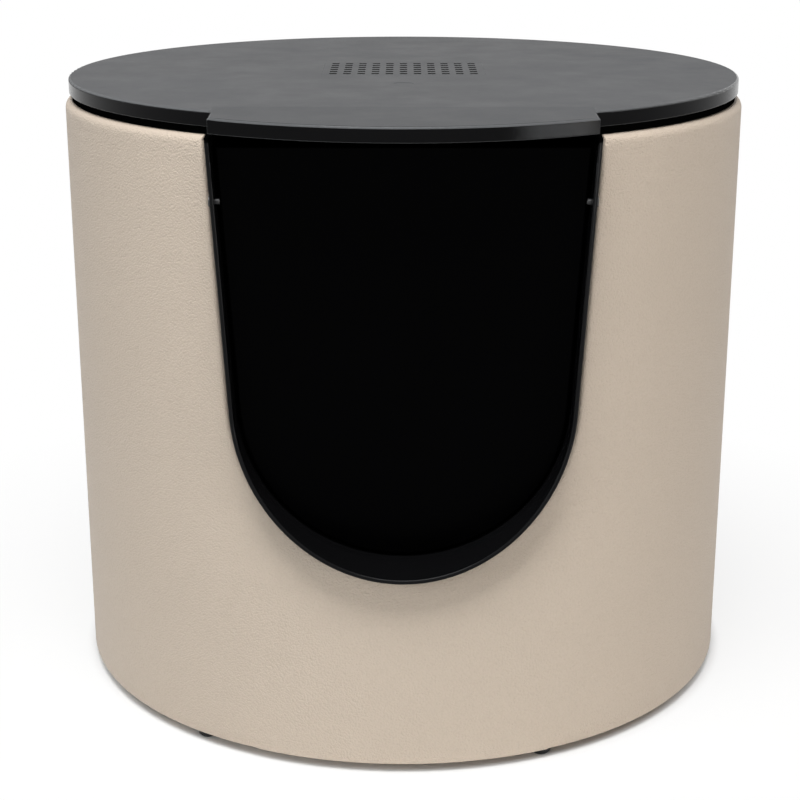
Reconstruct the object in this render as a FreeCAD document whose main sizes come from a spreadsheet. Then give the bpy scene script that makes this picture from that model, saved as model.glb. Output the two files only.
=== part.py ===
import FreeCAD, Part
import os
import re
import Sketcher

# Round upholstered litter box: a leather drum, a lift-out bucket with a spout, a swinging flap and a lid.
# Origin on the floor under the drum's axis, +Z up, the entry faces -Y. All sizes are millimetres.

SIZES = {
    # Drum wall
    "drum_radius": 250,
    "drum_height": 427.6,
    "leather_thickness": 1.2,
    "padding_thickness": 6,
    "edge_padding": 3,
    "board_thickness": 9,
    "base_thickness": 12,
    "edge_round": 6,
    "bottom_round": 2.5,
    "hem_width": 30,
    "glue_gap": 0.2,
    # Feet and screws
    "foot_height": 7,
    "foot_diameter": 14,
    "foot_bevel": 1.5,
    "foot_count": 6,
    "foot_turn": 24,
    "screw_diameter": 3.5,
    "screw_head_diameter": 7,
    "screw_head_height": 2.5,
    "foot_screw_length": 30,
    "base_screw_length": 32,
    "screw_clearance": 0.05,
    # Bucket and spout
    "bucket_wall": 3,
    "bucket_draft": 2,
    "bucket_clearance": 3.6,
    "bucket_floor_round": 18,
    "rim_setback": 5,
    "rim_thickness": 5.1,
    "rim_gap": 0.3,
    "spout_radius": 114.6,
    "spout_flare": 3.5,
    "spout_proud": 10,
    "sill_height": 145,
    "lip_round": 1,
    "notch_clearance": 1,
    # Flap and pins
    "flap_thickness": 5,
    "flap_gap": 2.5,
    "flap_top_length": 35.5,
    "flap_round": 1.2,
    "pivot_drop": 47.5,
    "pin_setback": 0.7,
    "pin_diameter": 4.2,
    "pin_clearance": 0.05,
    "pin_head_diameter": 7,
    "pin_head_thickness": 1.5,
    "pin_head_gap": 0.5,
    "pin_shoulder_gap": 0.4,
    "pin_tip_diameter": 2.6,
    "pin_tip_length": 14,
    # Lid and tab
    "lid_setback": 3,
    "lid_rim": 10,
    "lid_wall": 3,
    "lid_round": 1.5,
    "locating_depth": 6,
    "locating_gap": 1,
    "locating_wall": 2.5,
    "tab_reach": 14,
    "tab_gap": 0.4,
    "tab_drop": 2.5,
    "tab_overlap": 52,
    "rib_thickness": 2,
    "rib_depth": 4,
    "rib_start": 95,
    "rib_spread": 30,
    "gate_diameter": 14,
    "gate_depth": 0.15,
    "gate_front": 79,
    # Vent grid and filter
    "vent_columns": 11,
    "vent_rows": 6,
    "vent_pitch": 10.4,
    "vent_row_pitch": 12.4,
    "vent_hole": 5.5,
    "vent_margin": 5.5,
    "vent_back": 10,
    "vent_fit": 0.1,
    "vent_gap": 0.3,
    "vent_flange": 3,
    "vent_flange_thickness": 1.5,
    "filter_thickness": 7,
    "filter_gap": 0.4,
    "tray_wall": 2,
    "tray_columns": 4,
    "tray_rows": 3,
    "tray_bar": 3,
    "rail_wall": 2.5,
    "rail_foot": 4,
}

# Places that follow from the sizes above. Heights are above the floor, radii and distances from the axis.
PLACES = {
    "wall_top": "foot_height + drum_height",
    "padding_radius": "drum_radius - leather_thickness",
    "padding_low": "foot_height + leather_thickness",
    "padding_top": "wall_top - leather_thickness",
    "board_radius": "padding_radius - padding_thickness",
    "board_inside": "board_radius - board_thickness",
    "board_top": "padding_top - edge_padding",
    "leather_inside": "board_inside - leather_thickness",
    "base_top": "padding_low + base_thickness",
    "foot_circle": "board_inside + board_thickness / 2",
    "foot_screw_low": "foot_height / 2 - screw_head_height",
    "spout_centre": "sill_height + spout_radius",
    "spout_front": "drum_radius + spout_proud",
    "rim_low": "wall_top + rim_gap",
    "rim_top": "rim_low + rim_thickness",
    "rim_radius": "drum_radius - rim_setback",
    "bucket_radius": "leather_inside - bucket_clearance",
    "bucket_foot": "bucket_radius - (rim_top - base_top) * tan(bucket_draft)",
    "bucket_floor": "base_top + bucket_wall",
    "bucket_side": "bucket_wall / cos(bucket_draft)",
    "bucket_inside": "bucket_radius - bucket_side",
    "pivot_height": "rim_top - pivot_drop",
    "spout_edge": "spout_radius / cos(spout_flare) + (pivot_height - spout_centre) * tan(spout_flare)",
    "pin_reach": "spout_edge + pin_head_gap + pin_head_thickness",
    "flap_distance": "sqrt(drum_radius ^ 2 - pin_reach ^ 2) - pin_setback",
    "flap_top": "pivot_height + flap_top_length",
    "lid_radius": "drum_radius - lid_setback",
    "lid_top": "rim_top + lid_rim",
    "plate_low": "lid_top - lid_wall",
    "locating_low": "rim_top - locating_depth",
    "locating_radius": "bucket_inside - locating_gap",
    "locating_inside": "locating_radius - locating_wall",
    "tab_radius": "drum_radius + tab_reach",
    "tab_start": "lid_radius - tab_overlap",
    "tab_far": "tab_radius + lid_wall",
    "tab_far_drop": "tab_drop * (tab_far - tab_start) / (tab_radius - tab_start)",
    "vent_width": "(vent_columns - 1) * vent_pitch + vent_hole + 2 * vent_margin",
    "vent_depth": "(vent_rows - 1) * vent_row_pitch + vent_hole + 2 * vent_margin",
    "flange_low": "plate_low - vent_flange_thickness",
    "tray_width": "vent_width + 2 * vent_flange",
    "tray_depth": "vent_depth + 2 * vent_flange",
    "tray_top": "flange_low - vent_gap",
    "tray_low": "tray_top - filter_thickness - tray_wall",
    "rail_low": "tray_low - rail_wall",
    "rail_inside": "tray_width / 2 + filter_gap",
    "rail_front": "vent_back - tray_depth / 2 - filter_gap - rail_wall",
    "rail_length": "tray_depth + filter_gap + rail_wall",
    "window_width": "(tray_width - 2 * tray_wall - (tray_columns + 1) * tray_bar) / tray_columns",
    "window_depth": "(tray_depth - 2 * tray_wall - (tray_rows + 1) * tray_bar) / tray_rows",
}

doc = FreeCAD.newDocument("litter_box")
sheet = doc.addObject("Spreadsheet::Sheet", "sizes")
for row, (alias, value) in enumerate(SIZES.items(), 1):
    sheet.set(f"A{row}", alias)
    sheet.set(f"B{row}", str(value))
    sheet.setAlias(f"B{row}", alias)
doc.recompute()


def size(text):
    """An expression in the words above, spelled out in the sheet's cells."""

    def spell(match):
        word = match.group()
        if word in SIZES:
            return "sizes." + word
        return f"({size(PLACES[word])})" if word in PLACES else word

    return re.sub("[a-z_]+", spell, text)


def number(text):
    return float(sheet.evalExpression(size(text)))


def bind(thing, **texts):
    for name, text in texts.items():
        thing.setExpression(name, size(text))
    return thing


def place(thing, base, turn="rotationz(0)", about="0"):
    """Set the thing down at a base point with a turn of its own, then swing both about the drum's axis."""
    point = "; ".join(base)
    swing = f"placement(vector(0; 0; 0); rotationz({about}))"
    return bind(thing, Placement=f"{swing} * placement(vector({point}); {turn})")


# Sketches and features

def new_sketch(body, role):
    sketch = body.newObject("Sketcher::SketchObject", body.Name + "_sketch")
    plane = next(part for part in body.Origin.OriginFeatures if part.Role == role)
    sketch.AttachmentSupport = [(plane, "")]
    sketch.MapMode = "FlatFace"
    return sketch


def fix_point(sketch, curve, end, across, up):
    for kind, axis, text in (("DistanceX", -2, across), ("DistanceY", -1, up)):
        if text == "0":
            sketch.addConstraint(Sketcher.Constraint("PointOnObject", curve, end, axis))
            continue
        rule = sketch.addConstraint(Sketcher.Constraint(kind, -1, 1, curve, end, number(text)))
        sketch.setExpression(f"Constraints[{rule}]", size(text))


def draw_polygon(sketch, corners):
    first = sketch.GeometryCount
    points = [FreeCAD.Vector(number(across), number(up), 0) for across, up in corners]
    for start, end in zip(points, points[1:] + points[:1]):
        sketch.addGeometry(Part.LineSegment(start, end))
    for index, (across, up) in enumerate(corners):
        following = first + (index + 1) % len(corners)
        sketch.addConstraint(Sketcher.Constraint("Coincident", first + index, 2, following, 1))
        fix_point(sketch, first + index, 1, across, up)
    return sketch


def draw_rectangle(sketch, width, depth, across="0", up="0"):
    sides = [(f"{across} {a} ({width}) / 2", f"{up} {b} ({depth}) / 2") for a, b in ("--", "+-", "++", "-+")]
    return draw_polygon(sketch, sides)


def draw_circle(sketch, radius):
    circle = sketch.addGeometry(Part.Circle(FreeCAD.Vector(), FreeCAD.Vector(0, 0, 1), number(radius)))
    sketch.addConstraint(Sketcher.Constraint("Coincident", circle, 3, -1, 1))
    rule = sketch.addConstraint(Sketcher.Constraint("Radius", circle, number(radius)))
    sketch.setExpression(f"Constraints[{rule}]", size(radius))
    return sketch


def half_width(offset, height):
    """Half of the entry's width at a height, on the spout's outside grown by an offset."""
    return f"(spout_radius + {offset}) / cos(spout_flare) + ({height} - spout_centre) * tan(spout_flare)"


def draw_entry(sketch, offset, top):
    """The U of the entry: a half round below, sides that flare upwards and a flat top."""
    grown = f"spout_radius + {offset}"
    radius, centre, flare = number(grown), number("spout_centre"), number("spout_flare")
    circle = Part.Circle(FreeCAD.Vector(0, centre, 0), FreeCAD.Vector(0, 0, 1), radius)
    turn = FreeCAD.Rotation(FreeCAD.Vector(0, 0, 1), -flare)
    right_low = turn.multVec(FreeCAD.Vector(radius, 0, 0)) + FreeCAD.Vector(0, centre, 0)
    left_low = FreeCAD.Vector(-right_low.x, right_low.y, 0)
    wide, high = number(half_width(offset, top)), number(top)
    right_top, left_top = FreeCAD.Vector(wide, high, 0), FreeCAD.Vector(-wide, high, 0)
    bottom = Part.ArcOfCircle(circle, circle.parameter(left_low), circle.parameter(right_low))
    curves = [
        bottom,
        Part.LineSegment(right_low, right_top),
        Part.LineSegment(right_top, left_top),
        Part.LineSegment(left_top, left_low),
    ]
    arc, right, across, left = [sketch.addGeometry(curve) for curve in curves]
    sketch.addConstraint(Sketcher.Constraint("Tangent", arc, 2, right, 1))
    sketch.addConstraint(Sketcher.Constraint("Coincident", right, 2, across, 1))
    sketch.addConstraint(Sketcher.Constraint("Coincident", across, 2, left, 1))
    sketch.addConstraint(Sketcher.Constraint("Tangent", left, 2, arc, 1))
    fix_point(sketch, arc, 3, "0", "spout_centre")
    rule = sketch.addConstraint(Sketcher.Constraint("Radius", arc, radius))
    sketch.setExpression(f"Constraints[{rule}]", size(grown))
    fix_point(sketch, right, 2, half_width(offset, top), top)
    fix_point(sketch, left, 1, f"-({half_width(offset, top)})", top)
    return sketch


def extrude(body, kind, sketch, length, reverse=False, symmetric=False):
    feature = body.newObject("PartDesign::" + kind, body.Name + "_" + kind.lower())
    feature.Profile = sketch
    feature.SideType = "Symmetric" if symmetric else "One side"
    feature.Reversed = reverse
    return bind(feature, Length=length)


def revolve(body, kind, corners):
    sketch = draw_polygon(new_sketch(body, "XZ_Plane"), corners)
    feature = body.newObject("PartDesign::" + kind, body.Name + "_" + kind.lower())
    feature.Profile = sketch
    feature.ReferenceAxis = (sketch, ["V_Axis"])
    feature.Angle = 360
    return feature


def trim_outside(body, radius):
    """Cut away what stands beyond a radius from the drum's axis."""
    sketch = draw_circle(draw_circle(new_sketch(body, "XY_Plane"), radius), "2 * drum_radius")
    return extrude(body, "Pocket", sketch, "2 * lid_top", reverse=True)


def round_edges(body, radius, chosen):
    doc.recompute()
    base = body.Tip
    names = [f"Edge{index}" for index, edge in enumerate(base.Shape.Edges, 1) if chosen(edge)]
    fillet = body.newObject("PartDesign::Fillet", body.Name + "_round")
    fillet.Base = (base, names)
    return bind(fillet, Radius=radius)


def edge_points(edge):
    first, last = edge.ParameterRange
    return [edge.valueAt(first + (last - first) * share) for share in (0, 0.35, 0.5, 0.65, 1)]


def at_height(edge, height):
    return all(abs(point.z - height) < 1e-4 for point in edge_points(edge))


def at_radius(edge, radius):
    return all(abs((point.x**2 + point.y**2) ** 0.5 - radius) < 1e-4 for point in edge_points(edge))


# Part objects

def new_body(name):
    return doc.addObject("PartDesign::Body", name)


def cylinder(name, diameter, height):
    return bind(doc.addObject("Part::Cylinder", name), Radius=f"({diameter}) / 2", Height=height)


def box(name, length, width, height):
    return bind(doc.addObject("Part::Box", name), Length=length, Width=width, Height=height)


def cut(name, base, tool):
    result = doc.addObject("Part::Cut", name)
    result.Base, result.Tool = base, tool
    return result


def fuse(name, shapes):
    result = doc.addObject("Part::MultiFuse", name)
    result.Shapes = shapes
    return result


def group(name, shapes):
    result = doc.addObject("Part::Compound", name)
    result.Links = shapes
    return result


# Drum: board, padding and leather are one wall nested in itself

def drum_wall(name, inner, outer, low, top, offset, edge_round=None, bottom_round=None):
    body = new_body(name)
    revolve(body, "Revolution", [(inner, low), (outer, low), (outer, top), (inner, top)])
    entry = draw_entry(new_sketch(body, "XZ_Plane"), offset, f"{top} + edge_round")
    extrude(body, "Pocket", entry, f"{outer} + spout_proud", reverse=True)
    if edge_round:
        lowest, highest, radius = number(low), number(top), number(outer)
        round_edges(
            body,
            edge_round,
            lambda edge: (at_radius(edge, radius) and not at_height(edge, lowest))
            or (at_height(edge, highest) and edge.Curve.TypeId == "Part::GeomLine"),
        )
        round_edges(body, bottom_round, lambda edge: at_radius(edge, radius) and at_height(edge, lowest))
    return body


def screw_angles(share):
    count = int(number("foot_count"))
    return [f"foot_turn + {index + share} * 360 / foot_count" for index in range(count)]


def foot_drills(name, diameter, low, high):
    drills = []
    for index, angle in enumerate(screw_angles(0), 1):
        drill = cylinder(f"{name}_{index}", diameter, f"{high} - ({low})")
        drills.append(place(drill, ("0", "-foot_circle", low), about=angle))
    return drills


def base_drills(name, diameter, start, length):
    """Round holes or bars that run in from the board's outer face to the base board."""
    drills = []
    for index, angle in enumerate(screw_angles(0.5), 1):
        drill = cylinder(f"{name}_{index}", diameter, length)
        base = ("0", f"{start} - board_radius", "padding_low + base_thickness / 2")
        drills.append(place(drill, base, turn="rotationx(-90)", about=angle))
    return drills


def screw_group(name, heads, shanks):
    return group(name, [fuse(f"{name}_{i}", list(pair)) for i, pair in enumerate(zip(heads, shanks), 1)])


leather_room = "notch_clearance"
padding_room = "notch_clearance + leather_thickness"
board_room = "notch_clearance + leather_thickness + edge_padding"
hem_room = "notch_clearance + hem_width"

leather_wall = drum_wall(
    "leather_wall", "leather_inside", "drum_radius", "foot_height", "wall_top", leather_room,
    "edge_round", "bottom_round",
)
padding_wall = drum_wall(
    "padding_wall", "board_inside", "padding_radius", "padding_low", "padding_top", padding_room,
    "edge_round - leather_thickness", "bottom_round - leather_thickness",
)
board_wall = drum_wall("board_wall", "board_inside", "board_radius", "padding_low", "board_top", board_room)
hem_window = drum_wall("hem_window", "0", "board_inside", "padding_low", "wall_top - hem_width", hem_room)

screw_hole = "screw_diameter + 2 * screw_clearance"
head_hole = "screw_head_diameter + 2 * screw_clearance"
foot_screw_top = "foot_height / 2 + foot_screw_length"
foot_holes = group("foot_holes", foot_drills("foot_hole", screw_hole, "0", foot_screw_top))
base_holes = group(
    "base_holes",
    base_drills("base_hole", screw_hole, "0", "base_screw_length")
    + base_drills("base_sink", head_hole, "0", "screw_head_height"),
)
leather_skin = cut("leather_skin", cut("leather_shell", leather_wall, padding_wall), hem_window)
leather_cover = cut("leather_cover", leather_skin, foot_holes)
foam_padding = cut("foam_padding", padding_wall, board_wall)
drum_shell = cut("drum_shell", cut("drilled_wall", board_wall, foot_holes), base_holes)

base_disc = cylinder("base_disc", "2 * (board_inside - glue_gap)", "base_thickness")
place(base_disc, ("0", "0", "padding_low"))
base_board = cut("base_board", base_disc, base_holes)

foot_screws = screw_group(
    "foot_screws",
    foot_drills("foot_screw_head", "screw_head_diameter", "foot_screw_low", "foot_height / 2"),
    foot_drills("foot_screw_shank", "screw_diameter", "foot_height / 2", foot_screw_top),
)
base_screws = screw_group(
    "base_screws",
    base_drills("base_screw_head", "screw_head_diameter", "0", "screw_head_height"),
    base_drills("base_screw_shank", "screw_diameter", "0", "base_screw_length"),
)


def new_foot(index, angle):
    """Turned foot with a stepped hole for its screw."""
    body = new_body(f"foot_{index}")
    hole, sink, seat, rim = f"({screw_hole}) / 2", f"({head_hole}) / 2", "foot_height / 2", "foot_diameter / 2"
    corners = [
        (sink, "0"), (f"{rim} - foot_bevel", "0"), (rim, "foot_bevel"), (rim, "foot_height"),
        (hole, "foot_height"), (hole, seat), (sink, seat),
    ]
    revolve(body, "Revolution", corners)
    return place(body, ("0", "-foot_circle", "0"), about=angle)


feet = [new_foot(index, angle) for index, angle in enumerate(screw_angles(0), 1)]


# Pivot: stepped pins along X, through the spout's side walls and into the flap's edges

def pivot_bar(name, side, diameter, start, length):
    """Round bar on the pivot's axis, from a distance out along X on one side."""
    bar = cylinder(name, diameter, length)
    return place(bar, (f"{side} * ({start})", "-flap_distance", "pivot_height"), turn=f"rotationy({side} * 90)")


flap_edge = half_width("0 - bucket_wall - flap_gap", "pivot_height")
tip_start = f"{flap_edge} - pin_tip_length"
shoulder = f"{flap_edge} + pin_shoulder_gap"
head_start = "spout_edge + pin_head_gap"
shank_length = f"{head_start} - ({shoulder})"
tip_length = "pin_tip_length + pin_shoulder_gap"
sides = (("left", -1), ("right", 1))


def pivot_holes(name, diameter, start, length):
    hole = f"{diameter} + 2 * pin_clearance"
    return group(name, [pivot_bar(f"{name}_{n}", side, hole, start, length) for n, side in sides])


def new_pin(name, side):
    tip = pivot_bar(f"{name}_tip", side, "pin_tip_diameter", tip_start, tip_length)
    shank = pivot_bar(f"{name}_shank", side, "pin_diameter", shoulder, shank_length)
    head = pivot_bar(f"{name}_head", side, "pin_head_diameter", head_start, "pin_head_thickness")
    return fuse(name, [tip, shank, head])


pins = [new_pin(f"flap_pin_{name}", side) for name, side in sides]


# Bucket: a tapered tub with a rim, whose spout fills the drum's entry

def new_bucket():
    body = new_body("bucket_body")
    rim_side = "bucket_radius - rim_thickness * tan(bucket_draft)"
    outside = [
        ("0", "base_top"), ("bucket_foot", "base_top"), (rim_side, "rim_low"),
        ("rim_radius", "rim_low"), ("rim_radius", "rim_top"), ("0", "rim_top"),
    ]
    revolve(body, "Revolution", outside)
    spout = draw_entry(new_sketch(body, "XZ_Plane"), "0", "rim_low")
    extrude(body, "Pad", spout, "spout_front + spout_proud")
    trim_outside(body, "spout_front")
    inner_foot = "bucket_foot + bucket_wall * tan(bucket_draft) - bucket_side"
    inside = [
        ("0", "bucket_floor"), (inner_foot, "bucket_floor"), ("bucket_inside", "rim_top"), ("0", "rim_top"),
    ]
    revolve(body, "Groove", inside)
    mouth = draw_entry(new_sketch(body, "XZ_Plane"), "0 - bucket_wall", "rim_top + lid_wall")
    extrude(body, "Pocket", mouth, "spout_front + spout_proud", reverse=True)
    floor, foot = number("bucket_floor"), number("base_top")
    round_edges(body, "bucket_floor_round", lambda edge: at_height(edge, floor))
    round_edges(body, "bucket_floor_round + bucket_wall", lambda edge: at_height(edge, foot))
    front, lip_top = number("spout_front"), number("rim_low")
    round_edges(body, "lip_round", lambda edge: at_radius(edge, front) and not at_height(edge, lip_top))
    return body


spout_holes = pivot_holes("spout_hole", "pin_diameter", shoulder, shank_length)
inner_bucket = cut("inner_bucket", new_bucket(), spout_holes)


# Flap: a flat panel of the spout's outline, drilled in its side edges for the pins

def new_flap():
    body = new_body("flap_body")
    outline = draw_entry(new_sketch(body, "XZ_Plane"), "0 - bucket_wall - flap_gap", "flap_top")
    extrude(body, "Pad", outline, "flap_thickness", symmetric=True)
    face = number("flap_thickness / 2")
    round_edges(body, "flap_round", lambda edge: all(abs(abs(p.y) - face) < 1e-4 for p in edge_points(edge)))
    return place(body, ("0", "-flap_distance", "0"))


flap_panel = cut("flap_panel", new_flap(), pivot_holes("flap_hole", "pin_tip_diameter", tip_start, tip_length))


# Lid: a plate with a rim, a locating ring, a front tab, ribs and rails for the filter tray

def tab_block(name, half, radius, upper, lower_far, lower_near):
    """Wedge over the spout, sloped like the tab's top, between two heights and inside a radius."""
    body = new_body(name)
    corners = [
        ("-tab_start", f"lid_top - {upper}"), ("-tab_far", f"lid_top - tab_far_drop - {upper}"),
        ("-tab_far", lower_far), ("-tab_start", lower_near),
    ]
    profile = draw_polygon(new_sketch(body, "YZ_Plane"), corners)
    extrude(body, "Pad", profile, f"2 * ({half})", symmetric=True)
    trim_outside(body, radius)
    return body


def new_rib(index, angle):
    rib = box(f"rib_{index}", "locating_inside + locating_wall / 2 - rib_start", "rib_thickness", "rib_depth")
    return place(rib, ("rib_start", "-rib_thickness / 2", "plate_low - rib_depth"), about=angle)


def new_rail(name, side):
    """Rail of an L section beside the filter tray, with its foot under the tray."""
    web = box(f"{name}_web", "rail_wall", "rail_length", "plate_low - rail_low")
    foot = box(f"{name}_foot", "rail_foot + rail_wall", "rail_length", "rail_wall")
    outer = "rail_inside" if side > 0 else "-rail_inside - rail_wall"
    inner = "rail_inside - rail_foot" if side > 0 else "-rail_inside - rail_wall"
    place(web, (outer, "rail_front", "rail_low"))
    place(foot, (inner, "rail_front", "rail_low"))
    return [web, foot]


def new_lid():
    plate = new_body("lid_plate")
    section = [
        ("0", "plate_low"), ("locating_inside", "plate_low"), ("locating_inside", "locating_low"),
        ("locating_radius", "locating_low"), ("locating_radius", "plate_low"),
        ("lid_radius - lid_wall", "plate_low"), ("lid_radius - lid_wall", "rim_top"),
        ("lid_radius", "rim_top"), ("lid_radius", "lid_top"), ("0", "lid_top"),
    ]
    revolve(plate, "Revolution", section)
    top, radius = number("lid_top"), number("lid_radius")
    round_edges(plate, "lid_round", lambda edge: at_height(edge, top) and at_radius(edge, radius))
    tab_half = f"{half_width('0 - bucket_wall', 'rim_top')} - tab_gap"
    tab = tab_block("tab", tab_half, "tab_radius", "0", "lid_top - tab_far_drop - lid_rim", "rim_top")
    high = number("lid_top - lid_rim / 2")
    start = number("tab_start")
    round_edges(tab, "lid_round", lambda edge: all(p.z > high for p in edge_points(edge))
                and not all(abs(p.y + start) < 1e-4 for p in edge_points(edge)))
    hollow = tab_block(
        "tab_hollow", f"{tab_half} - lid_wall", "tab_radius - lid_wall", "lid_wall",
        "locating_low - lid_wall", "locating_low - lid_wall",
    )
    slope = tab_block("tab_slope", tab_half, "tab_radius", "0", "lid_top + lid_wall", "lid_top + lid_wall")
    angles = [f"{side} + {step} * rib_spread" for side in (0, 180) for step in (-1, 0, 1)]
    ribs = [new_rib(index, angle) for index, angle in enumerate(angles, 1)]
    stop = box("rail_stop", "2 * rail_inside", "rail_wall", "plate_low - rail_low")
    place(stop, ("-rail_inside", "rail_front", "rail_low"))
    rails = new_rail("left_rail", -1) + new_rail("right_rail", 1) + [stop]
    solid = fuse("lid_solid", [plate, tab] + ribs + rails)
    window = box("vent_window", "vent_width + 2 * vent_fit", "vent_depth + 2 * vent_fit", "2 * lid_wall")
    place(window, ("-vent_width / 2 - vent_fit", "vent_back - vent_depth / 2 - vent_fit", "plate_low"))
    gate = cylinder("gate_mark", "gate_diameter", "lid_wall")
    place(gate, ("0", "-gate_front", "lid_top - gate_depth"))
    return cut("lid", solid, group("lid_cuts", [hollow, slope, window, gate]))


lid = new_lid()


def new_grille():
    """Vent insert: a plate flush with the lid's top, a flange under the lid and rows of square holes."""
    body = new_body("vent_grille")
    bottom = draw_rectangle(new_sketch(body, "XY_Plane"), "tray_width", "tray_depth")
    extrude(body, "Pad", bottom, "vent_flange_thickness")
    plate = draw_rectangle(new_sketch(body, "XY_Plane"), "vent_width", "vent_depth")
    extrude(body, "Pad", plate, "vent_flange_thickness + lid_wall")
    corner = ("-(vent_columns - 1) * vent_pitch / 2", "-(vent_rows - 1) * vent_row_pitch / 2")
    hole = draw_rectangle(new_sketch(body, "XY_Plane"), "vent_hole", "vent_hole", *corner)
    first = extrude(body, "Pocket", hole, "lid_top", reverse=True)
    repeat(body, first, hole, ("vent_pitch", "vent_columns"), ("vent_row_pitch", "vent_rows"))
    return place(body, ("0", "vent_back", "flange_low"))


def repeat(body, feature, sketch, across, up):
    """Rows and columns of a feature, each given by a pitch and a count."""
    pattern = body.newObject("PartDesign::LinearPattern", body.Name + "_pattern")
    pattern.Originals = [feature]
    pattern.Direction, pattern.Direction2 = (sketch, ["H_Axis"]), (sketch, ["V_Axis"])
    pattern.Mode = pattern.Mode2 = "Spacing"
    pattern.Spacings2 = [-1]  # the first gap takes the pitch too
    bind(pattern, Offset=across[0], Occurrences=across[1], Offset2=up[0], Occurrences2=up[1])
    body.Tip = pattern


def new_tray():
    """Open filter tray with a barred floor."""
    body = new_body("filter_frame")
    outside = draw_rectangle(new_sketch(body, "XY_Plane"), "tray_width", "tray_depth")
    extrude(body, "Pad", outside, "tray_wall + filter_thickness")
    inside = new_sketch(body, "XY_Plane")
    bind(inside, **{"AttachmentOffset.Base.z": "tray_wall"})
    draw_rectangle(inside, "tray_width - 2 * tray_wall", "tray_depth - 2 * tray_wall")
    extrude(body, "Pocket", inside, "2 * filter_thickness", reverse=True)
    across, up = "window_width + tray_bar", "window_depth + tray_bar"
    corner = (f"-(tray_columns - 1) * ({across}) / 2", f"-(tray_rows - 1) * ({up}) / 2")
    window = draw_rectangle(new_sketch(body, "XY_Plane"), "window_width", "window_depth", *corner)
    first = extrude(body, "Pocket", window, "tray_wall", reverse=True)
    repeat(body, first, window, (across, "tray_columns"), (up, "tray_rows"))
    return place(body, ("0", "vent_back", "tray_low"))


vent_grille = new_grille()
filter_frame = new_tray()
pad_width = "tray_width - 2 * tray_wall - 2 * filter_gap"
pad_depth = "tray_depth - 2 * tray_wall - 2 * filter_gap"
carbon_filter = box("carbon_filter", pad_width, pad_depth, "filter_thickness")
place(carbon_filter, (f"-({pad_width}) / 2", f"vent_back - ({pad_depth}) / 2", "tray_low + tray_wall"))

sub_parts = [leather_cover, foam_padding, drum_shell, base_board, foot_screws, base_screws]
sub_parts += feet + [inner_bucket, flap_panel] + pins + [lid, vent_grille, filter_frame, carbon_filter]

doc.recompute()
for thing in doc.Objects:
    if "Invalid" in thing.State or "Error" in thing.State:
        raise RuntimeError(f"{thing.Name} failed: {thing.State} {thing.getStatusString()}")
for part in sub_parts:
    if part.Shape.isNull() or not part.Shape.isValid():
        raise RuntimeError(f"{part.Label} has no valid shape")
os.makedirs("parts", exist_ok=True)
for part in sub_parts:
    part.Shape.exportStep(f"parts/{part.Label}.step")
    bounds = part.Shape.BoundBox
    print(f"{part.Label}: {len(part.Shape.Solids)} solids, {part.Shape.Volume / 1000:.1f} cm3,"
          f" z {bounds.ZMin:.1f} to {bounds.ZMax:.1f}")
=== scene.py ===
import math
import bmesh
import bpy
from mathutils import Matrix, Vector


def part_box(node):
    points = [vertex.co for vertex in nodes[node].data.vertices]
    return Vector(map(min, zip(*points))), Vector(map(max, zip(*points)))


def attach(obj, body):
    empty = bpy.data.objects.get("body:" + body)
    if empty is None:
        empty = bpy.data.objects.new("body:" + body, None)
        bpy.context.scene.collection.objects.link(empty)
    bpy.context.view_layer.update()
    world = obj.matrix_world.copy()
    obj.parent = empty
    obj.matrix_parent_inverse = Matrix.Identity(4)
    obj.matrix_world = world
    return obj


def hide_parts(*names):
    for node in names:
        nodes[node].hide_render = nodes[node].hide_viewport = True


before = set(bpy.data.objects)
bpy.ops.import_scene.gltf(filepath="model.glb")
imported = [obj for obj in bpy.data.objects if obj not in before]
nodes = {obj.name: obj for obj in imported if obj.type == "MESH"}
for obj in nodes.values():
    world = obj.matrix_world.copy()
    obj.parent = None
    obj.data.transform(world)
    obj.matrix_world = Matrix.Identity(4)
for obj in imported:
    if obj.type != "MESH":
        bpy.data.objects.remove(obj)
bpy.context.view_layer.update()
print("frame loaded with", len(nodes), "nodes")


# Shader wiring: sockets take part in Python sums, everything else is one call to make()

class Wire:
    def __init__(self, tree, socket):
        self.tree = tree
        self.socket = socket

    def work(self, operation, first, second):
        node = self.tree.nodes.new("ShaderNodeMath")
        node.operation = operation
        for socket, value in zip(node.inputs, (first, second)):
            plug(self.tree, socket, value)
        return Wire(self.tree, node.outputs[0])

    def __add__(self, other):
        return self.work("ADD", self, other)

    def __sub__(self, other):
        return self.work("SUBTRACT", self, other)

    def __rsub__(self, other):
        return self.work("SUBTRACT", other, self)

    def __mul__(self, other):
        return self.work("MULTIPLY", self, other)

    def most(self, other):  # the larger of the two
        return self.work("MAXIMUM", self, other)

    __radd__ = __add__
    __rmul__ = __mul__


def plug(tree, socket, value):
    if isinstance(value, Wire):
        tree.links.new(value.socket, socket)
    else:
        socket.default_value = value


edgeMask = {"samples": 6, "lean": (0.03, 0.22)}  # how far the rounded normal leans away at an edge


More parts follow.
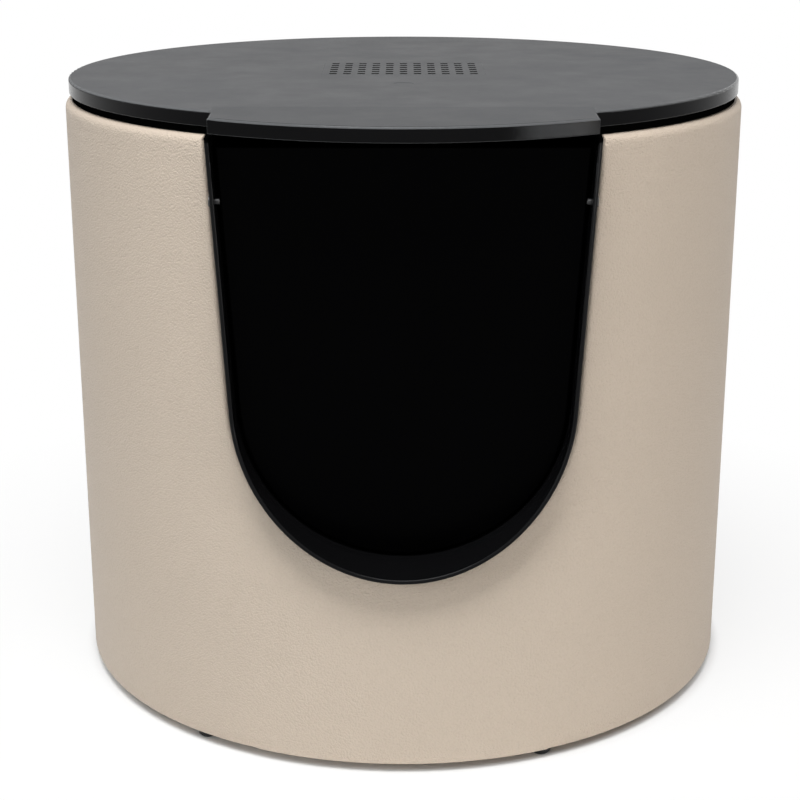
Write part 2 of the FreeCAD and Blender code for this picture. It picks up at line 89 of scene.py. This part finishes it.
class Finish:
    def __init__(self, name):
        self.material = bpy.data.materials.new(name)
        self.material.use_nodes = True
        self.tree = self.material.node_tree
        self.tree.nodes.clear()
        self.place = self.make("ShaderNodeTexCoord", out="Object")

    def make(self, kind, settings=None, sockets=None, out=0):
        node = self.tree.nodes.new(kind)
        for name, value in (settings or {}).items():
            if name == "stops":
                for element, (position, shade) in zip(node.color_ramp.elements, value):
                    element.position = position
                    element.color = (shade, shade, shade, 1)
            else:
                setattr(node, name, value)
        for key, value in (sockets or {}).items():
            socket = next(s for s in node.inputs if key in (s.identifier, s.name))
            plug(self.tree, socket, value)
        return Wire(self.tree, node.outputs[out])

    def noise(self, scale, detail=2, roughness=0.5, out=0):
        return self.make("ShaderNodeTexNoise", None, {
            "Vector": self.place, "Scale": scale, "Detail": detail, "Roughness": roughness,
        }, out)

    def cells(self, scale, feature="F1", at=None):
        return self.make("ShaderNodeTexVoronoi", {"feature": feature}, {
            "Vector": at or self.place, "Scale": scale,
        })

    def part(self, vector, axis):
        return self.make("ShaderNodeSeparateXYZ", None, {"Vector": vector}, out=axis)

    def ramp(self, value, low, high):  # for patterns: 0 below low, 1 above high
        return self.make("ShaderNodeValToRGB", {"stops": [(low, 0), (high, 1)]}, {"Fac": value})

    def span(self, value, low, high):  # the same for measures
        return self.make("ShaderNodeMapRange", None, {"Value": value, "From Min": low, "From Max": high})

    def tone(self, share, dark, light):
        return self.mix(share, (*dark, 1), light)

    def mix(self, share, under, light):
        return self.make("ShaderNodeMix", {"data_type": "RGBA"}, {
            "Factor_Float": share, "A_Color": under, "B_Color": (*light, 1),
        }, out=2)

    def bump(self, height, strength, depth, over=None):
        sockets = {"Height": height, "Strength": strength, "Distance": depth}
        if over:
            sockets["Normal"] = over
        return self.make("ShaderNodeBump", None, sockets)

    def edges(self, radius):  # the normal rounded at the edges, and a mask of the edges themselves
        rounded = self.make("ShaderNodeBevel", {"samples": edgeMask["samples"]}, {"Radius": radius}, out="Normal")
        flat = self.make("ShaderNodeNewGeometry", out="True Normal")
        same = self.make("ShaderNodeVectorMath", {"operation": "DOT_PRODUCT"}, {
            "Vector": rounded, "Vector_001": flat,
        }, out="Value")
        return rounded, self.span(1 - same, *edgeMask["lean"])

    def surface(self, over=None, **sockets):  # Base_Color stands for the socket Base Color
        named = {key.replace("_", " "): value for key, value in sockets.items()}
        shader = self.make("ShaderNodeBsdfPrincipled", None, named)
        if over:  # a share and the shader that lies over the first one
            shader = self.make("ShaderNodeMixShader", None, {
                "Fac": over[0], "Shader": shader, "Shader_001": over[1],
            })
        return self.close(shader)

    def close(self, shader):
        out = self.tree.nodes.new("ShaderNodeOutputMaterial")
        self.tree.links.new(shader.socket, out.inputs["Surface"])
        return self.material


# Leather cover: one sheet drawn round the padded wall, over the top and into the entry

hide = {
    "paleColour": (0.60, 0.505, 0.415),
    "deepColour": (0.525, 0.44, 0.355),
    "pebbleScale": 860,
    "driftNoise": (430, 1),  # bends the pebbles; scale, then detail and roughness where they are given
    "driftReach": 0.001,
    "fineNoise": (1900, 3),
    "fineShare": 0.25,
    "swayNoise": (9, 2),  # slow waves of the padding below
    "patchNoise": (3.2, 3, 0.55),  # slow change of colour
    "creaseSpan": (0.3, 0.7),
    "creaseShare": 0.3,
    "grainBump": (0.65, 0.0011),  # strength, and depth in metres
    "swayBump": (0.3, 0.003),
    "roughness": 0.5,
    "roughnessSwing": 0.1,
    "specular": 0.35,
}


def leatherFinish():
    look = Finish("grainedLeather")
    drift = look.noise(*hide["driftNoise"], out="Color")
    bent = look.make("ShaderNodeVectorMath", {"operation": "MULTIPLY_ADD"}, {
        "Vector": drift, "Vector_001": (hide["driftReach"],) * 3, "Vector_002": look.place,
    })
    pebble = look.cells(hide["pebbleScale"], "SMOOTH_F1", bent)
    fine = look.noise(*hide["fineNoise"])
    sway = look.noise(*hide["swayNoise"])
    patch = look.noise(*hide["patchNoise"])
    crease = look.ramp(pebble, *hide["creaseSpan"])
    height = (1 - pebble) * (1 - hide["fineShare"]) + fine * hide["fineShare"]
    grain = look.bump(height, *hide["grainBump"])
    # the creases between pebbles are painted darker: painted shade in the grain's valleys
    share = patch * (1 - hide["creaseShare"]) + crease * hide["creaseShare"]
    swing = hide["roughnessSwing"]
    return look.surface(
        Base_Color=look.tone(share, hide["paleColour"], hide["deepColour"]),
        Roughness=hide["roughness"] + crease * swing + (patch - 0.5) * swing,
        Normal=look.bump(sway, *hide["swayBump"], grain), Specular_IOR_Level=hide["specular"],
    )


leather = {
    "notchRadius": 0.1156,  # the U of the entry, seen from the front
    "notchCentre": 0.2596,
    "notchFlare": math.radians(3.5),
    "wallDepth": 0.0174,
    "hem": 0.03,
    "thickness": 0.0012,
    "margin": 0.009,  # plain strip beside each rounded edge
    "edgeRound": 0.0058,  # with innerRound, less than wallDepth less dishDepth
    "edgeSegments": 6,
    "innerRound": 0.002,
    "bottomRound": 0.001,
    "foldSegments": 4,
    "along": 110,  # quads along half of the entry's edge
    "across": 56,  # quads from the entry to the back seam
    "cornerColumn": 60,  # columns up to here end at the bottom, the rest at the back seam
    "dishDepth": 0.008,  # the padding is pulled in below the entry
    "dishReach": 0.034,
    "dishFade": 0.1,  # height over which it dies out up the sides
    "seamHalf": 0.0022,
    "seamSegments": 2,
    "seamDepth": 0.0009,
    "seamAllowance": 0.01,
    "sharpTurn": 0.8,  # radians; edges that turn more get a round
    "touch": 1e-6,  # metres: points this close lie in one place
    "merge": 1e-5,
    "onWall": 1e-4,
}
leatherLow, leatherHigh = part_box("leather_cover")
drumRadius = leatherHigh.x
innerRadius = drumRadius - leather["wallDepth"]
gridLow = leatherLow.z + leather["margin"]
gridTop = leatherHigh.z - leather["margin"]


def notchGap(across, height):  # distance from the edge of the entry
    flare = leather["notchFlare"]
    offset = Vector((across, height - leather["notchCentre"]))
    if offset.dot(Vector((math.sin(flare), math.cos(flare)))) > 0:
        return offset.dot(Vector((math.cos(flare), -math.sin(flare)))) - leather["notchRadius"]
    return offset.length - leather["notchRadius"]


def dish(across, height):
    gap = max(notchGap(across, height), 0) / leather["dishReach"]
    low = min(max((leather["notchCentre"] - height) / leather["dishFade"], 0), 1)
    return leather["dishDepth"] * math.exp(-gap) * low * low * (3 - 2 * low)


def notchPoint(share, grow, top):  # round the arc first, then up the straight side
    radius = leather["notchRadius"] + grow
    flare = leather["notchFlare"]
    arc = radius * (math.pi / 2 - flare)
    side = Vector((radius * math.cos(flare), leather["notchCentre"] - radius * math.sin(flare)))
    straight = (top - side.y) / math.cos(flare)
    run = share * (arc + straight)
    if run < arc:
        turn = run / radius
        return Vector((radius * math.sin(turn), leather["notchCentre"] - radius * math.cos(turn)))
    return side + (run - arc) * Vector((math.sin(flare), math.cos(flare)))


def wrap(sign, angle, height, radius):
    return Vector((sign * radius * math.sin(angle), -radius * math.cos(angle), height))


def ringPoint(share, sign, grow, radius, top):  # shares over 1 run on along the top to the back seam
    point = notchPoint(min(share, 1), grow, top)
    sunk = dish(point.x, point.y) if radius == drumRadius and share <= 1 else 0
    angle = math.asin(point.x / (radius - sunk))
    angle += max(share - 1, 0) * (math.pi - angle)
    return wrap(sign, angle, point.y, radius - sunk)


def farPoint(column):  # along the bottom to the back, then up the seam
    corner = leather["cornerColumn"]
    if column <= corner:
        return math.pi * column / corner, gridLow
    return math.pi, gridLow + (gridTop - gridLow) * (column - corner) / (leather["along"] - corner)


def pullEdges(bm, edges, moveVert):
    made = bmesh.ops.extrude_edge_only(bm, edges=edges)["geom"]
    for item in made:
        if isinstance(item, bmesh.types.BMVert):
            moveVert(item)
    return [item for item in made if isinstance(item, bmesh.types.BMEdge)]


def roundOff(bm, edges, offset, segments):
    bmesh.ops.bevel(
        bm, geom=edges, offset=offset, offset_type="OFFSET", segments=segments, profile=0.5, affect="EDGES",
        material=-1, clamp_overlap=False, loop_slide=True,
    )


def wallGrid():  # from the entry's edge round to the back, both sides in one grid
    bm = bmesh.new()
    bmesh.ops.create_grid(bm, x_segments=2 * leather["along"], y_segments=leather["across"], size=1)
    shareLayer = bm.verts.layers.float.new("share")
    signLayer = bm.verts.layers.float.new("sign")
    lastStep = leather["margin"] / notchPoint(1, 0, gridTop).length  # room for the rounded corner
    for vert in bm.verts:
        column = round(abs(vert.co.x) * leather["along"])
        share = 1 if column == leather["along"] else column * (1 - lastStep) / (leather["along"] - 1)
        reach = (vert.co.y + 1) / 2
        vert[signLayer] = math.copysign(1, vert.co.x)
        vert[shareLayer] = share + reach if share == 1 else share
        near = notchPoint(share, leather["margin"], gridTop)
        nearAngle = math.asin(near.x / (drumRadius - dish(near.x, near.y)))
        farAngle, farHeight = farPoint(column)
        angle = nearAngle + (farAngle - nearAngle) * reach
        height = near.y + (farHeight - near.y) * reach
        across = near.x + drumRadius * (angle - nearAngle)
        vert.co = wrap(vert[signLayer], angle, height, drumRadius - dish(across, height))
    bmesh.ops.remove_doubles(bm, verts=bm.verts, dist=leather["merge"])
    return bm, shareLayer, signLayer


def leatherMesh():
    bm, shareLayer, signLayer = wallGrid()
    touch = leather["touch"]
    rim = [edge for edge in bm.edges if edge.is_boundary]
    bottom = [edge for edge in rim if all(abs(vert.co.z - gridLow) < touch for vert in edge.verts)]
    chain = [edge for edge in rim if edge not in set(bottom)]

    def onRing(grow, radius, top):
        def move(vert):
            vert.co = ringPoint(vert[shareLayer], vert[signLayer], grow, radius, top)
        return move

    top = leatherHigh.z
    outerEdge = [e for e in pullEdges(bm, chain, onRing(0, drumRadius, top)) if e.is_boundary]
    wallEdges = pullEdges(bm, outerEdge, onRing(0, innerRadius, top))
    innerEdge = [e for e in wallEdges if e.is_boundary]
    corners = [e for e in wallEdges if all(abs(v[shareLayer] - 1) < touch for v in e.verts)]
    pullEdges(bm, innerEdge, onRing(leather["hem"], innerRadius, top - leather["hem"]))

    def dropDown(vert):
        vert.co.z = leatherLow.z

    def turnUnder(vert):
        vert.co.xy *= innerRadius / drumRadius

    lowEdge = [e for e in pullEdges(bm, bottom, dropDown) if e.is_boundary]
    pullEdges(bm, lowEdge, turnUnder)
    roundOff(bm, outerEdge + corners, leather["edgeRound"], leather["edgeSegments"])

    def sharpAt(radius):
        return [
            e for e in bm.edges
            if len(e.link_faces) == 2 and e.calc_face_angle() > leather["sharpTurn"]
            and all(abs(v.co.xy.length - radius) < leather["onWall"] for v in e.verts)
        ]

    def atFoot(edge):
        return all(abs(v.co.z - leatherLow.z) < leather["merge"] for v in edge.verts)

    roundOff(bm, sharpAt(innerRadius), leather["innerRound"], leather["foldSegments"])
    lowest = [e for e in sharpAt(drumRadius) if atFoot(e)]
    roundOff(bm, lowest, leather["bottomRound"], leather["foldSegments"])
    return bm


def sewSeam(bm):  # a shallow groove where the two ends of the hide meet
    def atBack(vert):
        return abs(vert.co.x) < leather["touch"] and vert.co.y > 0

    seam = [e for e in bm.edges if all(atBack(v) for v in e.verts)]
    roundOff(bm, seam, leather["seamHalf"], leather["seamSegments"])
    bm.normal_update()
    for vert in bm.verts:
        if atBack(vert):
            vert.co -= vert.normal * leather["seamDepth"]


def turnOutwards(bm):
    bmesh.ops.recalc_face_normals(bm, faces=bm.faces)
    probe = max(bm.faces, key=lambda face: face.calc_center_median().x)
    if probe.normal.x < 0:
        bmesh.ops.reverse_faces(bm, faces=bm.faces)


def addPiece(bm, name, body, finish, smoothBelow=0.7):  # edges that turn more, in radians, stay sharp
    for face in bm.faces:
        face.smooth = True
    for edge in bm.edges:
        edge.smooth = len(edge.link_faces) == 2 and edge.calc_face_angle() < smoothBelow
    mesh = bpy.data.meshes.new(name)
    bm.to_mesh(mesh)
    bm.free()
    mesh.materials.append(finish)
    piece = bpy.data.objects.new(name, mesh)
    bpy.context.scene.collection.objects.link(piece)
    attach(piece, body)
    print("made", name, len(mesh.polygons), "faces")
    return piece


coverMesh = leatherMesh()
turnOutwards(coverMesh)
sewSeam(coverMesh)
bmesh.ops.solidify(coverMesh, geom=coverMesh.faces[:], thickness=leather["thickness"])
leatherCover = addPiece(coverMesh, "leatherCover", "drum", leatherFinish())
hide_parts("leather_cover", "foam_padding")


# Back seam: a row of waxed thread along each side of the join

stitch = {
    "length": 0.0036,
    "pitch": 0.0046,
    "thick": 0.0008,
    "sides": 6,
    "rings": 5,
    "fromSeam": 0.0048,
    "sunk": 0.0003,
    "endGap": 0.011,
    "dark": (0.36, 0.30, 0.24),
    "light": (0.50, 0.43, 0.35),
    "twist": {"Scale": 900, "Distortion": 0.4},
    "twistBump": (0.5, 0.0002),
    "roughness": 0.55,
    "roughnessSwing": 0.1,
}


def threadFinish():
    look = Finish("waxedThread")
    twist = look.make("ShaderNodeTexWave", {"bands_direction": "DIAGONAL"}, {
        "Vector": look.place, **stitch["twist"],
    })
    return look.surface(
        Base_Color=look.tone(twist, stitch["dark"], stitch["light"]),
        Roughness=stitch["roughness"] + twist * stitch["roughnessSwing"],
        Normal=look.bump(twist, *stitch["twistBump"]),
    )


def stitchRows():
    bm = bmesh.new()
    low = leatherLow.z + stitch["endGap"]
    count = int((leatherHigh.z - stitch["endGap"] - low) / stitch["pitch"])
    shape = Matrix.Diagonal((stitch["thick"] / 2, stitch["thick"] / 2, stitch["length"] / 2, 1))
    for sign in (-1, 1):
        across = sign * stitch["fromSeam"]
        depth = math.sqrt(drumRadius ** 2 - across ** 2) - stitch["sunk"]
        for step in range(count):
            place = Matrix.Translation((across, depth, low + (step + 0.5) * stitch["pitch"]))
            bmesh.ops.create_uvsphere(
                bm, u_segments=stitch["sides"], v_segments=stitch["rings"], radius=1, matrix=place @ shape,
            )
    return bm


seamStitches = addPiece(stitchRows(), "seamStitches", "drum", threadFinish(), math.pi)


# Carbon pad: a cut block of pierced foam that sits in the filter's frame

pad = {
    "rows": 12,
    "columns": 18,
    "crown": 0.0012,
    "edgeRound": 0.0016,
    "edgeSegments": 3,
    "holeInset": 0.28,  # as a share of a cell, whose middle is then pressed in
    "dimple": 0.0009,
    "wholeCell": 0.6,  # cells that the rounded edge leaves smaller than this share stay plain
    "dark": (0.004, 0.004, 0.004),
    "light": (0.035, 0.035, 0.036),
    "poreScale": 520,
    "poreBump": (0.9, 0.0006),
    "fineNoise": (2400, 3),
    "fineShare": 0.3,
    "roughness": 0.9,
    "roughnessSwing": 0.1,
}
padLow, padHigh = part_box("carbon_filter")


def carbonFinish():
    look = Finish("carbonFoam")
    pores = look.cells(pad["poreScale"])
    fine = look.noise(*pad["fineNoise"])
    share = pores * (1 - pad["fineShare"]) + fine * pad["fineShare"]
    return look.surface(
        Base_Color=look.tone(share, pad["dark"], pad["light"]),
        Roughness=pad["roughness"] - fine * pad["roughnessSwing"],
        Normal=look.bump(pores, *pad["poreBump"]),
    )


def carbonMesh():
    bm = bmesh.new()
    middle, span = (padLow + padHigh) / 2, padHigh - padLow
    cell = span.x / pad["columns"], span.y / pad["rows"]
    bmesh.ops.create_cube(bm, size=1, matrix=Matrix.Translation(middle) @ Matrix.Diagonal((*span, 1)))
    roundOff(bm, bm.edges[:], pad["edgeRound"], pad["edgeSegments"])
    for axis, cuts in ((0, pad["columns"]), (1, pad["rows"])):
        normal = [float(axis == side) for side in range(3)]
        for step in range(1, cuts):
            point = padLow.copy()
            point[axis] += span[axis] * step / cuts
            everything = bm.verts[:] + bm.edges[:] + bm.faces[:]
            bmesh.ops.bisect_plane(bm, geom=everything, plane_co=point, plane_no=normal)
    wholeArea = pad["wholeCell"] * cell[0] * cell[1]
    faces = [f for f in bm.faces if abs(f.normal.z) > 0.9 and f.calc_area() > wholeArea]  # top and bottom
    bmesh.ops.inset_individual(bm, faces=faces, thickness=min(cell) * pad["holeInset"])
    for face in faces:
        bmesh.ops.translate(bm, verts=face.verts, vec=-face.normal * pad["dimple"])
    for vert in bm.verts:
        across, along = ((vert.co[i] - middle[i]) / span[i] * 2 for i in (0, 1))
        sink = 1 - (1 - across ** 4) * (1 - along ** 4)
        vert.co.z -= math.copysign(pad["crown"] * sink, vert.co.z - middle.z)
    return bm


carbonPad = addPiece(carbonMesh(), "carbonPad", "filter", carbonFinish())
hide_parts("carbon_filter")


# The camera and light of the photo

view = {
    "place": (0, -1.3237, 0.6081),
    "pitch": math.radians(72.514),
    "turn": math.radians(0.113),
    "lens": 78.75,
    "sensor": 36,
}
cameraData = bpy.data.cameras.new("photoCamera")
cameraData.lens = view["lens"]
cameraData.sensor_width = view["sensor"]
camera = bpy.data.objects.new("photoCamera", cameraData)
camera.location = view["place"]
camera.rotation_euler = (view["pitch"], 0, view["turn"])
bpy.context.scene.collection.objects.link(camera)
bpy.context.scene.camera = camera

lamps = {  # metres and watts; a lamp with a height is a strip, the others are round
    "overheadBox": {
        "place": (-0.15, -0.86, 2.3), "target": (0, -0.5, 0), "size": 1.25, "power": 57, "colour": (1, 1, 1),
    },
    "leftBox": {
        "place": (-1.9, -1.9, 1.2), "target": (0, 0, 0.25), "size": 1.3, "power": 12, "colour": (0.9, 0.96, 1),
    },
    "rightBox": {
        "place": (1.9, -1.4, 0.35), "target": (0, 0, 0.3), "size": 0.3, "power": 3, "colour": (1, 0.85, 0.68),
    },
    "rightStrip": {
        "place": (1.72, -1.71, 0.12), "target": (0.09, -0.24, 0.44), "size": 0.9, "height": 0.1, "power": 7,
        "colour": (0.96, 0.98, 1),
    },
}


def softBox(name, place, target, size, power, colour, height=None):
    data = bpy.data.lights.new(name, "AREA")
    data.shape = "RECTANGLE" if height else "DISK"
    data.size = size
    data.size_y = height or size
    data.energy = power
    data.color = colour
    lamp = bpy.data.objects.new(name, data)
    lamp.location = place
    lamp.rotation_euler = (Vector(target) - Vector(place)).to_track_quat("-Z", "Y").to_euler()
    bpy.context.scene.collection.objects.link(lamp)


for name, lamp in lamps.items():
    softBox(name, **lamp)

studio = {
    "fill": 0.14,
    "floorSize": 8,
    "floorPale": (0.91, 0.91, 0.905),
    "floorDeep": (0.88, 0.88, 0.875),
    "floorNoise": (60, 3),
    "contactReach": (0.243, 0.257),  # metres from the middle: full shadow below the part, then the soft one
    "whiteShare": 0.82,  # how white the floor looks near the part, where its soft shadow lies
    "shadowReach": (0.27, 0.6),  # over which it goes to plain white
}


def backdropWhite(tree):  # seen directly or in a reflection, the backdrop is plain white
    light = tree.nodes.new("ShaderNodeLightPath")
    camera, glossy, through = (
        Wire(tree, light.outputs[name]) for name in ("Is Camera Ray", "Is Glossy Ray", "Is Transmission Ray")
    )
    return camera + glossy + through


world = bpy.data.worlds.new("studioWhite")
bpy.context.scene.world = world
world.use_nodes = True
backdrop = world.node_tree.nodes["Background"]
backdrop.inputs["Color"].default_value = (1, 1, 1, 1)
plug(
    world.node_tree, backdrop.inputs["Strength"],
    studio["fill"] + backdropWhite(world.node_tree) * (1 - studio["fill"]),
)


def floorFinish():
    look = Finish("paleFloor")
    colour = look.tone(look.noise(*studio["floorNoise"]), studio["floorDeep"], studio["floorPale"])
    pale = look.make("ShaderNodeBsdfDiffuse", None, {"Color": colour})
    glow = look.make("ShaderNodeEmission", None, {"Color": (1, 1, 1, 1), "Strength": 1.0})
    distance = look.make("ShaderNodeVectorMath", {"operation": "LENGTH"}, {"Vector": look.place}, out="Value")
    clear = look.span(distance, *studio["shadowReach"]) * (1 - studio["whiteShare"])
    share = look.span(distance, *studio["contactReach"]) * (studio["whiteShare"] + clear)
    seen = backdropWhite(look.tree) * share
    return look.close(look.make("ShaderNodeMixShader", None, {"Fac": seen, "Shader": pale, "Shader_001": glow}))


floorMesh = bmesh.new()
bmesh.ops.create_grid(floorMesh, x_segments=1, y_segments=1, size=studio["floorSize"] / 2)
floorData = bpy.data.meshes.new("studioFloor")
floorMesh.to_mesh(floorData)
floorMesh.free()
floorData.materials.append(floorFinish())
floor = bpy.data.objects.new("studioFloor", floorData)
bpy.context.scene.collection.objects.link(floor)
print("camera, lamps and floor set")


# Moulded pieces: black plastic with a little dust in its texture and pale edges painted as highlights

mould = {
    "cloudNoise": (7, 3, 0.6),
    "stippleNoise": (2600, 2),
    "stippleDepth": 0.0001,
    "speckNoise": (430, 2),  # dust that has settled in the texture
    "speckSpan": (0.66, 0.74),
    "speckShare": 0.4,
    "edgeRadius": 0.0008,
    "highlightShare": (0.4, 0.6),  # everywhere on an edge, and what the clouds add
    "cloudRoughness": 0.12,
    "speckRoughness": 0.05,
    # colour and roughness of the painted shade on the bucket's rim below the lid
    "shadeColour": (0.0015, 0.0015, 0.0015, 1),
    "shadeRoughness": 0.9,
}
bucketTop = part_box("inner_bucket")[1].z
bucketLook = {
    "dark": (0.0028, 0.0028, 0.0031),
    "light": (0.0062, 0.0062, 0.0068),
    "edgeHighlight": (0.085, 0.088, 0.094),
    "roughness": 0.2,
    "specular": 0.08,
    "texture": 0.1,
    "shadeBand": (bucketTop - 0.0085, bucketTop - 0.0075),  # heights over which the rim below the lid is painted black, as the shade of the gap under the lid
}
flapLook = {
    "dark": (0.0003, 0.0003, 0.0004),
    "light": (0.001, 0.001, 0.0012),
    "edgeHighlight": (0.006, 0.006, 0.007),
    "roughness": 0.3,
    "specular": 0.012,
    "texture": 0.05,
}
pinLook = {
    "dark": (0.03, 0.03, 0.032),
    "light": (0.06, 0.06, 0.062),
    "edgeHighlight": (0.2, 0.2, 0.2),
    "roughness": 0.22,
    "specular": 0.5,
    "texture": 0.05,
}
footLook = {
    "dark": (0.008, 0.008, 0.008),
    "light": (0.02, 0.02, 0.02),
    "edgeHighlight": (0.03, 0.03, 0.03),
    "roughness": 0.62,
    "specular": 0.3,
    "texture": 0.35,
}


def mouldedFinish(name, dark, light, edgeHighlight, roughness, specular, texture, shadeBand=None):
    look = Finish(name)
    cloud = look.noise(*mould["cloudNoise"])
    stipple = look.noise(*mould["stippleNoise"])
    speck = look.ramp(look.noise(*mould["speckNoise"]), *mould["speckSpan"])
    rounded, corner = look.edges(mould["edgeRadius"])
    plainHighlight, cloudHighlight = mould["highlightShare"]
    colour = look.tone(cloud * (1 - mould["speckShare"]) + speck * mould["speckShare"], dark, light)
    over = None
    # a matt black sheet mixed over the rim's band just below the lid: painted shade of the gap there
    if shadeBand:
        paintedShade = look.make("ShaderNodeBsdfPrincipled", None, {
            "Base Color": mould["shadeColour"], "Roughness": mould["shadeRoughness"], "Specular IOR Level": 0.0,
        })
        over = look.span(look.part(look.place, "Z"), *shadeBand), paintedShade
    return look.surface(
        over,
        # the rounds of the edges are painted pale: painted highlights
        Base_Color=look.mix(corner * (plainHighlight + cloud * cloudHighlight), colour, edgeHighlight),
        Roughness=roughness + (cloud - 0.5) * mould["cloudRoughness"] + speck * mould["speckRoughness"],
        Normal=look.bump(stipple, texture, mould["stippleDepth"], rounded), Specular_IOR_Level=specular,
    )


# Lid: textured on top, where a little dust and a painted sheen lie, and polished round the rim, whose edges carry
# painted highlights

lidLow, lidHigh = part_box("lid")
lidLook = {
    "black": (0.0022, 0.0022, 0.0025),
    "dustAndSheenColour": (0.069, 0.071, 0.0748),
    # edge: colour of the painted highlight lines
    "edge": (0.11, 0.113, 0.117),
    "flatRise": (0.96, 0.98),  # upward part of the normal on the flat top
    "turnRise": (0.08, 0.2),  # and on the rounds beside it
    "rimLine": (lidHigh.z - 0.0013, lidHigh.z - 0.0009),  # height where the rim starts to turn over
    "tabLine": (-lidLow.y - 0.00127, -lidLow.y - 0.00077),  # and the tab's, measured from the middle
    "edgeRadius": 0.0009,
    "highlightShare": (0.7, 0.5),  # everywhere on an edge, and what the clouds add
    "cloudNoise": (6, 3, 0.6),
    "smearNoise": (26, 4, 0.65),
    "speckNoise": (380, 2),
    "speckSpan": (0.64, 0.74),
    "dustAndSheenShares": (0.2, 0.7, 0.28, 0.12),  # even dust and painted sheen, clouds, smears and specks
    "stippleNoise": (2600, 2),
    "stippleBump": (0.25, 0.0001),
    "rimRoughness": 0.14,
    "topRoughness": 0.46,
    "cloudRoughness": 0.2,
    "smearRoughness": 0.22,
    "specular": 0.06,
    "lidHighlight": 1,
    "ventHighlight": 0.05,  # the small holes get almost no painted highlight on their edges
}


def lidEdges(look, flat, rise, corner):  # the pale lines painted as highlights on rim, tab and corners
    rimLine = look.span(look.part(look.place, "Z"), *lidLook["rimLine"]) * (1 - flat)
    level = look.make("ShaderNodeVectorMath", {"operation": "MULTIPLY"}, {
        "Vector": look.place, "Vector_001": (1, 1, 0),
    })
    reach = look.make("ShaderNodeVectorMath", {"operation": "LENGTH"}, {"Vector": level}, out="Value")
    tabLine = look.span(reach, *lidLook["tabLine"]) * look.span(rise, *lidLook["turnRise"]) * (1 - flat)
    return corner.most(rimLine.most(tabLine))


def lidFinish(name, highlightAmount):
    look = Finish(name)
    rise = look.part(look.make("ShaderNodeNewGeometry", out="Normal"), "Z")
    flat = look.span(rise, *lidLook["flatRise"])
    rounded, corner = look.edges(lidLook["edgeRadius"])
    edgeHighlight = lidEdges(look, flat, rise, corner)
    cloud = look.noise(*lidLook["cloudNoise"])
    smear = look.noise(*lidLook["smearNoise"])
    stipple = look.noise(*lidLook["stippleNoise"])
    speck = look.ramp(look.noise(*lidLook["speckNoise"]), *lidLook["speckSpan"])
    even, cloudDustAndSheen, smearDustAndSheen, speckDust = lidLook["dustAndSheenShares"]
    # the flat top is painted paler: dust, and painted sheen where the top catches the light
    dustAndSheen = flat * (even + cloud * cloudDustAndSheen + smear * smearDustAndSheen + speck * speckDust)
    colour = look.tone(dustAndSheen, lidLook["black"], lidLook["dustAndSheenColour"])
    plainHighlight, cloudHighlight = lidLook["highlightShare"]
    wiped = (
        lidLook["topRoughness"] + (cloud - 0.5) * lidLook["cloudRoughness"]
        + (smear - 0.5) * lidLook["smearRoughness"]
    )
    return look.surface(
        # rim, tab and corners painted pale: painted highlights
        Base_Color=look.mix(edgeHighlight * (plainHighlight + cloud * cloudHighlight) * highlightAmount, colour, lidLook["edge"]),
        Roughness=lidLook["rimRoughness"] + flat * (wiped - lidLook["rimRoughness"]),
        Normal=look.bump(stipple, *lidLook["stippleBump"], rounded), Specular_IOR_Level=lidLook["specular"],
    )


# Board and steel, hidden below the leather and under the base

boardLook = {
    "dark": (0.24, 0.16, 0.09),
    "light": (0.47, 0.35, 0.22),
    "fibreNoise": (900, 4, 0.7),
    "fibreBump": (0.4, 0.0003),
    "flakeNoise": (120, 3, 0.6),
    "flakeShare": 0.4,
    "roughness": 0.8,
    "roughnessSwing": 0.1,
}
steelLook = {
    "dark": (0.46, 0.47, 0.48),
    "light": (0.62, 0.62, 0.63),
    "hazeNoise": (500, 3),
    "roughness": 0.28,
    "roughnessSwing": 0.2,
}


def boardFinish():
    look = Finish("fibreboard")
    fibre = look.noise(*boardLook["fibreNoise"])
    flake = look.noise(*boardLook["flakeNoise"])
    share = fibre * (1 - boardLook["flakeShare"]) + flake * boardLook["flakeShare"]
    return look.surface(
        Base_Color=look.tone(share, boardLook["dark"], boardLook["light"]),
        Roughness=boardLook["roughness"] + (flake - 0.5) * boardLook["roughnessSwing"],
        Normal=look.bump(fibre, *boardLook["fibreBump"]),
    )


def steelFinish():
    look = Finish("zincedSteel")
    haze = look.noise(*steelLook["hazeNoise"])
    return look.surface(
        Base_Color=look.tone(haze, steelLook["dark"], steelLook["light"]), Metallic=1.0,
        Roughness=steelLook["roughness"] + haze * steelLook["roughnessSwing"],
    )


satinLid = lidFinish("satinLid", lidLook["lidHighlight"])
ventLid = lidFinish("ventLid", lidLook["ventHighlight"])
pinFinish = mouldedFinish("turnedPin", **pinLook)
footFinish = mouldedFinish("footRubber", **footLook)
board = boardFinish()
steel = steelFinish()
finishes = {
    "lid": satinLid, "vent_grille": ventLid, "filter_frame": ventLid,
    "inner_bucket": mouldedFinish("mouldedBucket", **bucketLook),
    "flap_panel": mouldedFinish("blackFlap", **flapLook),
    "flap_pin_left": pinFinish, "flap_pin_right": pinFinish,
    "drum_shell": board, "base_board": board, "foot_screws": steel, "base_screws": steel,
}
for name, node in nodes.items():
    finish = footFinish if name.startswith("foot_") and name != "foot_screws" else finishes.get(name)
    if finish:
        node.data.materials.clear()
        node.data.materials.append(finish)
print("finishes set on", len(nodes), "nodes")

bpy.context.scene.view_settings.view_transform = "Standard"
